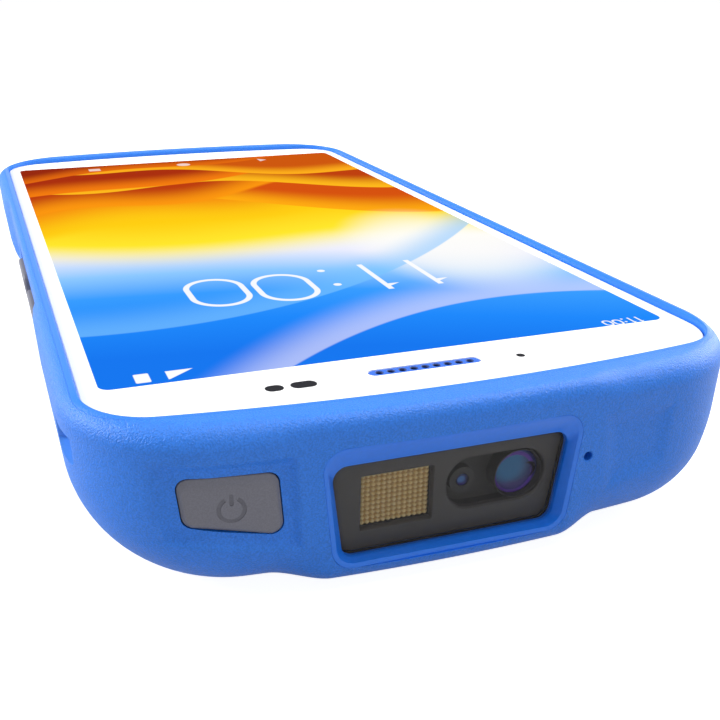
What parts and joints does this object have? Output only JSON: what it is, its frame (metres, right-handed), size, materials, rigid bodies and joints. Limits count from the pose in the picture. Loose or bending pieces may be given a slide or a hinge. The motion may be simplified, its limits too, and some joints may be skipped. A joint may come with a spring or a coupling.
{
  "type": "barcode data terminal",
  "caption": "Pocket data terminal with a large touch screen, a barcode scanner window in its top end, power and side keys, and a battery pack that latches into the back.",
  "frame": {"origin": "centre of the outline at the level of the flat back, with the terminal lying on its back", "axes": "+Z out of the display, +Y towards the scanner end, +X towards the user's right hand side"},
  "size_m": [0.077, 0.1502, 0.019],
  "materials": {
    "textured_blue_plastic": "fine moulded grain",
    "smooth_blue_plastic": "smooth satin",
    "grey_plastic": "satin",
    "touch_glass": "polished, white printed border",
    "adhesive": "matt",
    "display": "lit picture",
    "flex_circuit": "satin",
    "cast_alloy": "as cast",
    "circuit_board": "solder mask",
    "black_component": "satin",
    "sheet_steel": "plated sheet",
    "screw_steel": "black oxide",
    "spring_steel": "drawn wire",
    "silicone": "matt",
    "smoked_window": "polished, lightly smoked",
    "black_plastic": "matt",
    "gold_lens": "fly-eye pattern",
    "lamp_yellow": "domed",
    "coated_lens": "polished, coated",
    "gold_contact": "plated",
    "white_diffuser": "frosted",
    "black_mesh": "woven",
    "antenna_carrier": "matt",
    "black_glass": "polished",
    "cell_foil": "foil wrapped"
  },
  "bodies": {
    "terminal": {"rear_housing": "textured_blue_plastic", "front_frame": "smooth_blue_plastic", "touch_glass": "touch_glass", "glass_adhesive": "adhesive", "display_panel": "display", "display_flex": "flex_circuit", "mid_frame": "cast_alloy", "main_board": "circuit_board", "processor": "black_component", "shield_cans": "sheet_steel", "board_screws": "screw_steel", "housing_screws": "screw_steel", "window_bezel": "smooth_blue_plastic", "window_gasket": "silicone", "exit_window": "smoked_window", "engine_chassis": "black_plastic", "engine_face": "black_plastic", "illumination_lens": "gold_lens", "illumination_leds": "lamp_yellow", "aimer_lens": "coated_lens", "imager_lens": "coated_lens", "lens_barrel": "black_plastic", "engine_board": "circuit_board", "engine_flex": "flex_circuit", "engine_screws": "screw_steel", "power_button_seal": "silicone", "power_switch": "circuit_board", "right_key_seal": "silicone", "right_key_board": "circuit_board", "left_key_seal": "silicone", "left_key_board": "circuit_board", "receiver_grille": "smooth_blue_plastic", "receiver": "black_component", "top_microphone": "gold_contact", "proximity_sensor": "black_component", "notification_led": "white_diffuser", "loudspeaker": "black_component", "speaker_mesh": "black_mesh", "bottom_microphone": "gold_contact", "usb_receptacle": "sheet_steel", "cradle_contacts": "gold_contact", "vibration_motor": "sheet_steel", "antennas": "antenna_carrier", "card_socket": "sheet_steel", "backup_battery": "sheet_steel", "bay_contacts": "black_component", "rear_camera": "black_plastic", "camera_window": "black_glass", "flash_window": "white_diffuser"},
    "battery_pack": {"battery_case": "textured_blue_plastic", "battery_cell": "cell_foil", "pack_terminals": "gold_contact", "latch_springs": "spring_steel"},
    "power_button": {"power_button": "grey_plastic"},
    "right_long_key": {"right_long_key": "grey_plastic"},
    "right_short_key": {"right_short_key": "grey_plastic"},
    "left_long_key": {"left_long_key": "grey_plastic"},
    "left_short_key": {"left_short_key": "grey_plastic"},
    "latch_right": {"latch_right": "grey_plastic"},
    "latch_left": {"latch_left": "grey_plastic"}
  },
  "joints": [
    {"name": "power_button_press", "type": "slide", "parent": "terminal", "child": "power_button", "axis": [0, -1, 0], "range_m": [0, 0.0006], "stiffness_N_per_m": 600, "springref_m": -0.0003},
    {"name": "right_long_key_press", "type": "slide", "parent": "terminal", "child": "right_long_key", "axis": [-1, 0, 0], "range_m": [0, 0.0006], "stiffness_N_per_m": 600, "springref_m": -0.0003},
    {"name": "right_short_key_press", "type": "slide", "parent": "terminal", "child": "right_short_key", "axis": [-1, 0, 0], "range_m": [0, 0.0006], "stiffness_N_per_m": 600, "springref_m": -0.0003},
    {"name": "left_long_key_press", "type": "slide", "parent": "terminal", "child": "left_long_key", "axis": [1, 0, 0], "range_m": [0, 0.0006], "stiffness_N_per_m": 600, "springref_m": -0.0003},
    {"name": "left_short_key_press", "type": "slide", "parent": "terminal", "child": "left_short_key", "axis": [1, 0, 0], "range_m": [0, 0.0006], "stiffness_N_per_m": 600, "springref_m": -0.0003},
    {"name": "battery_swing", "type": "hinge", "parent": "terminal", "child": "battery_pack", "pos_m": [0, -0.05485, 0.00135], "axis": [-1, 0, 0], "range_deg": [0, 10]},
    {"name": "latch_right_slide", "type": "slide", "parent": "battery_pack", "child": "latch_right", "axis": [-1, 0, 0], "range_m": [0, 0.0022], "stiffness_N_per_m": 300, "springref_m": -0.001, "deforming": ["latch_springs"]},
    {"name": "latch_left_slide", "type": "slide", "parent": "battery_pack", "child": "latch_left", "axis": [1, 0, 0], "range_m": [0, 0.0022], "stiffness_N_per_m": 300, "springref_m": -0.001, "deforming": ["latch_springs"]}
  ],
  "couplings": [
    {"joint": "latch_right_slide", "follows": "battery_swing", "m_per_rad": 0.0126},
    {"joint": "latch_left_slide", "follows": "battery_swing", "m_per_rad": 0.0126}
  ]
}
